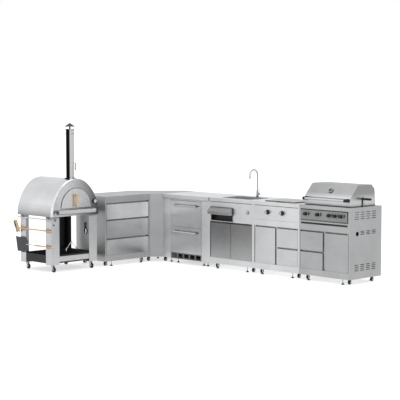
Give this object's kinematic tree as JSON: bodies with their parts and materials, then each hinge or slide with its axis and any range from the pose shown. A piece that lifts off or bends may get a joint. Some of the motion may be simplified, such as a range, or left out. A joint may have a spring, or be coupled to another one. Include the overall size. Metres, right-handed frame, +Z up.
{
  "type": "outdoor kitchen island",
  "caption": "L-shaped stainless outdoor kitchen: pizza oven on a cart, drawer, corner, fridge, sink, side burner and gas grill modules on levelling feet.",
  "frame": {"origin": "centre of the sole of the corner cabinet's middle levelling foot", "axes": "+X along the longer run of modules, +Y towards its back, +Z up"},
  "size_m": [4.329, 2.524, 1.95],
  "materials": {
    "stainless": "brushed satin",
    "hammered": "hammered, polished",
    "bright": "polished",
    "black_metal": "satin black",
    "iron": "matte",
    "caster_black": "matte",
    "appliance": "satin",
    "firebrick": "matte",
    "beech": "oiled"
  },
  "bodies": {
    "root": {"drawer_cabinet": "stainless", "corner_cabinet": "stainless", "fridge_cabinet": "stainless", "sink_cabinet": "stainless", "towel_niche": "stainless", "sink_bowl": "stainless", "burner_cabinet": "stainless", "grill_cabinet": "stainless", "grill_firebox": "stainless", "grill_control_panel": "stainless", "oven_cart_legs": "stainless", "oven_shell": "stainless", "oven_chamber": "stainless", "oven_front": "hammered", "faucet_base": "bright", "oven_side_rail": "bright", "oven_shelf": "bright", "oven_flue": "bright", "grill_burners": "bright", "oven_cart_tray": "black_metal", "oven_log_rack": "black_metal", "side_burner": "black_metal", "levelling_feet": "black_metal", "grill_grates": "iron", "cabinet_casters": "caster_black", "fridge_case": "appliance", "oven_hearth": "firebrick", "oven_tools": "beech"},
    "bottom_drawer": {"bottom_drawer": "stainless"},
    "middle_drawer": {"middle_drawer": "stainless"},
    "top_drawer": {"top_drawer": "stainless"},
    "burner_lower_drawer": {"burner_lower_drawer": "stainless"},
    "burner_upper_drawer": {"burner_upper_drawer": "stainless"},
    "grill_lower_drawer": {"grill_lower_drawer": "stainless"},
    "grill_upper_drawer": {"grill_upper_drawer": "stainless"},
    "fridge_lower_drawer": {"fridge_lower_drawer": "stainless"},
    "fridge_upper_drawer": {"fridge_upper_drawer": "stainless"},
    "sink_left_door": {"sink_left_door": "stainless"},
    "sink_right_door": {"sink_right_door": "stainless"},
    "burner_door": {"burner_door": "stainless"},
    "grill_door": {"grill_door": "stainless"},
    "burner_knob_left": {"burner_knob_left": "bright"},
    "burner_knob_right": {"burner_knob_right": "bright"},
    "grill_knob_1": {"grill_knob_1": "bright"},
    "grill_knob_2": {"grill_knob_2": "bright"},
    "grill_knob_3": {"grill_knob_3": "bright"},
    "grill_knob_4": {"grill_knob_4": "bright"},
    "grill_knob_5": {"grill_knob_5": "bright"},
    "faucet_spout": {"faucet_spout": "bright"},
    "faucet_lever": {"faucet_lever": "bright"},
    "burner_lid": {"burner_lid": "stainless"},
    "grill_lid": {"grill_lid": "stainless"},
    "grill_drip_tray": {"grill_drip_tray": "stainless"},
    "rotisserie_spit": {"rotisserie_spit": "bright"},
    "oven_door": {"oven_door": "hammered"},
    "oven_damper": {"oven_damper": "bright"},
    "oven_caster_front_left": {"oven_caster_front_left": "caster_black"},
    "oven_caster_front_right": {"oven_caster_front_right": "caster_black"},
    "oven_caster_rear_left": {"oven_caster_rear_left": "caster_black"},
    "oven_caster_rear_right": {"oven_caster_rear_right": "caster_black"}
  },
  "joints": [
    {"name": "bottom_drawer_slide", "type": "slide", "parent": "root", "child": "bottom_drawer", "axis": [1, 0, 0], "range_m": [0, 0.28]},
    {"name": "middle_drawer_slide", "type": "slide", "parent": "root", "child": "middle_drawer", "axis": [1, 0, 0], "range_m": [0, 0.28]},
    {"name": "top_drawer_slide", "type": "slide", "parent": "root", "child": "top_drawer", "axis": [1, 0, 0], "range_m": [0, 0.28]},
    {"name": "burner_lower_drawer_slide", "type": "slide", "parent": "root", "child": "burner_lower_drawer", "axis": [0, -1, 0], "range_m": [0, 0.45]},
    {"name": "burner_upper_drawer_slide", "type": "slide", "parent": "root", "child": "burner_upper_drawer", "axis": [0, -1, 0], "range_m": [0, 0.45]},
    {"name": "grill_lower_drawer_slide", "type": "slide", "parent": "root", "child": "grill_lower_drawer", "axis": [0, -1, 0], "range_m": [0, 0.45]},
    {"name": "grill_upper_drawer_slide", "type": "slide", "parent": "root", "child": "grill_upper_drawer", "axis": [0, -1, 0], "range_m": [0, 0.45]},
    {"name": "fridge_lower_drawer_slide", "type": "slide", "parent": "root", "child": "fridge_lower_drawer", "axis": [0, -1, 0], "range_m": [0, 0.42]},
    {"name": "fridge_upper_drawer_slide", "type": "slide", "parent": "root", "child": "fridge_upper_drawer", "axis": [0, -1, 0], "range_m": [0, 0.42]},
    {"name": "sink_left_door_hinge", "type": "hinge", "parent": "root", "child": "sink_left_door", "pos_m": [1.269, -0.193, 0.394], "axis": [0, 0, -1], "range_deg": [0, 90]},
    {"name": "sink_right_door_hinge", "type": "hinge", "parent": "root", "child": "sink_right_door", "pos_m": [2.011, -0.193, 0.394], "axis": [0, 0, 1], "range_deg": [0, 90]},
    {"name": "burner_door_hinge", "type": "hinge", "parent": "root", "child": "burner_door", "pos_m": [2.085, -0.193, 0.394], "axis": [0, 0, -1], "range_deg": [0, 90]},
    {"name": "grill_door_hinge", "type": "hinge", "parent": "root", "child": "grill_door", "pos_m": [3.623, -0.193, 0.393], "axis": [0, 0, 1], "range_deg": [0, 90]},
    {"name": "burner_knob_left_turn", "type": "hinge", "parent": "root", "child": "burner_knob_left", "pos_m": [2.301, -0.205, 0.818], "axis": [0, -1, 0], "range_deg": [0, 220]},
    {"name": "burner_knob_right_turn", "type": "hinge", "parent": "root", "child": "burner_knob_right", "pos_m": [2.55, -0.205, 0.818], "axis": [0, -1, 0], "range_deg": [0, 220]},
    {"name": "grill_knob_1_turn", "type": "hinge", "parent": "root", "child": "grill_knob_1", "pos_m": [2.964, -0.215, 0.842], "axis": [0, -1, 0], "range_deg": [0, 220]},
    {"name": "grill_knob_2_turn", "type": "hinge", "parent": "root", "child": "grill_knob_2", "pos_m": [3.159, -0.215, 0.842], "axis": [0, -1, 0], "range_deg": [0, 220]},
    {"name": "grill_knob_3_turn", "type": "hinge", "parent": "root", "child": "grill_knob_3", "pos_m": [3.344, -0.215, 0.842], "axis": [0, -1, 0], "range_deg": [0, 220]},
    {"name": "grill_knob_4_turn", "type": "hinge", "parent": "root", "child": "grill_knob_4", "pos_m": [3.44, -0.215, 0.842], "axis": [0, -1, 0], "range_deg": [0, 220]},
    {"name": "grill_knob_5_turn", "type": "hinge", "parent": "root", "child": "grill_knob_5", "pos_m": [3.534, -0.215, 0.842], "axis": [0, -1, 0], "range_deg": [0, 220]},
    {"name": "faucet_swivel", "type": "hinge", "parent": "root", "child": "faucet_spout", "pos_m": [1.65, 0.3, 1.02], "axis": [0, 0, 1], "range_deg": [-120, 120]},
    {"name": "faucet_lever_turn", "type": "hinge", "parent": "root", "child": "faucet_lever", "pos_m": [1.6843, 0.3, 0.99], "axis": [1, 0, 0], "range_deg": [0, 90]},
    {"name": "burner_lid_hinge", "type": "hinge", "parent": "root", "child": "burner_lid", "pos_m": [2.443, 0.298, 0.958], "axis": [-1, 0, 0], "range_deg": [0, 95]},
    {"name": "grill_lid_hinge", "type": "hinge", "parent": "root", "child": "grill_lid", "pos_m": [3.2455, 0.356, 0.96], "axis": [-1, 0, 0], "range_deg": [0, 80]},
    {"name": "grill_drip_tray_slide", "type": "slide", "parent": "root", "child": "grill_drip_tray", "axis": [0, -1, 0], "range_m": [0, 0.45]},
    {"name": "rotisserie_spin", "type": "hinge", "parent": "root", "child": "rotisserie_spit", "pos_m": [3.238, 0.095, 1.045], "axis": [1, 0, 0], "continuous": true},
    {"name": "oven_door_slide", "type": "slide", "parent": "root", "child": "oven_door", "axis": [1, 0, 0], "range_m": [0, 0.25]},
    {"name": "oven_damper_turn", "type": "hinge", "parent": "root", "child": "oven_damper", "pos_m": [0.11, -1.6775, 1.42], "axis": [0, 1, 0], "range_deg": [0, 90]},
    {"name": "oven_caster_front_left_swivel", "type": "hinge", "parent": "root", "child": "oven_caster_front_left", "pos_m": [0.133, -1.998, 0.097], "axis": [0, 0, 1], "continuous": true},
    {"name": "oven_caster_front_right_swivel", "type": "hinge", "parent": "root", "child": "oven_caster_front_right", "pos_m": [0.133, -1.357, 0.097], "axis": [0, 0, 1], "continuous": true},
    {"name": "oven_caster_rear_left_swivel", "type": "hinge", "parent": "root", "child": "oven_caster_rear_left", "pos_m": [-0.408, -1.998, 0.097], "axis": [0, 0, 1], "continuous": true},
    {"name": "oven_caster_rear_right_swivel", "type": "hinge", "parent": "root", "child": "oven_caster_rear_right", "pos_m": [-0.408, -1.357, 0.097], "axis": [0, 0, 1], "continuous": true}
  ]
}
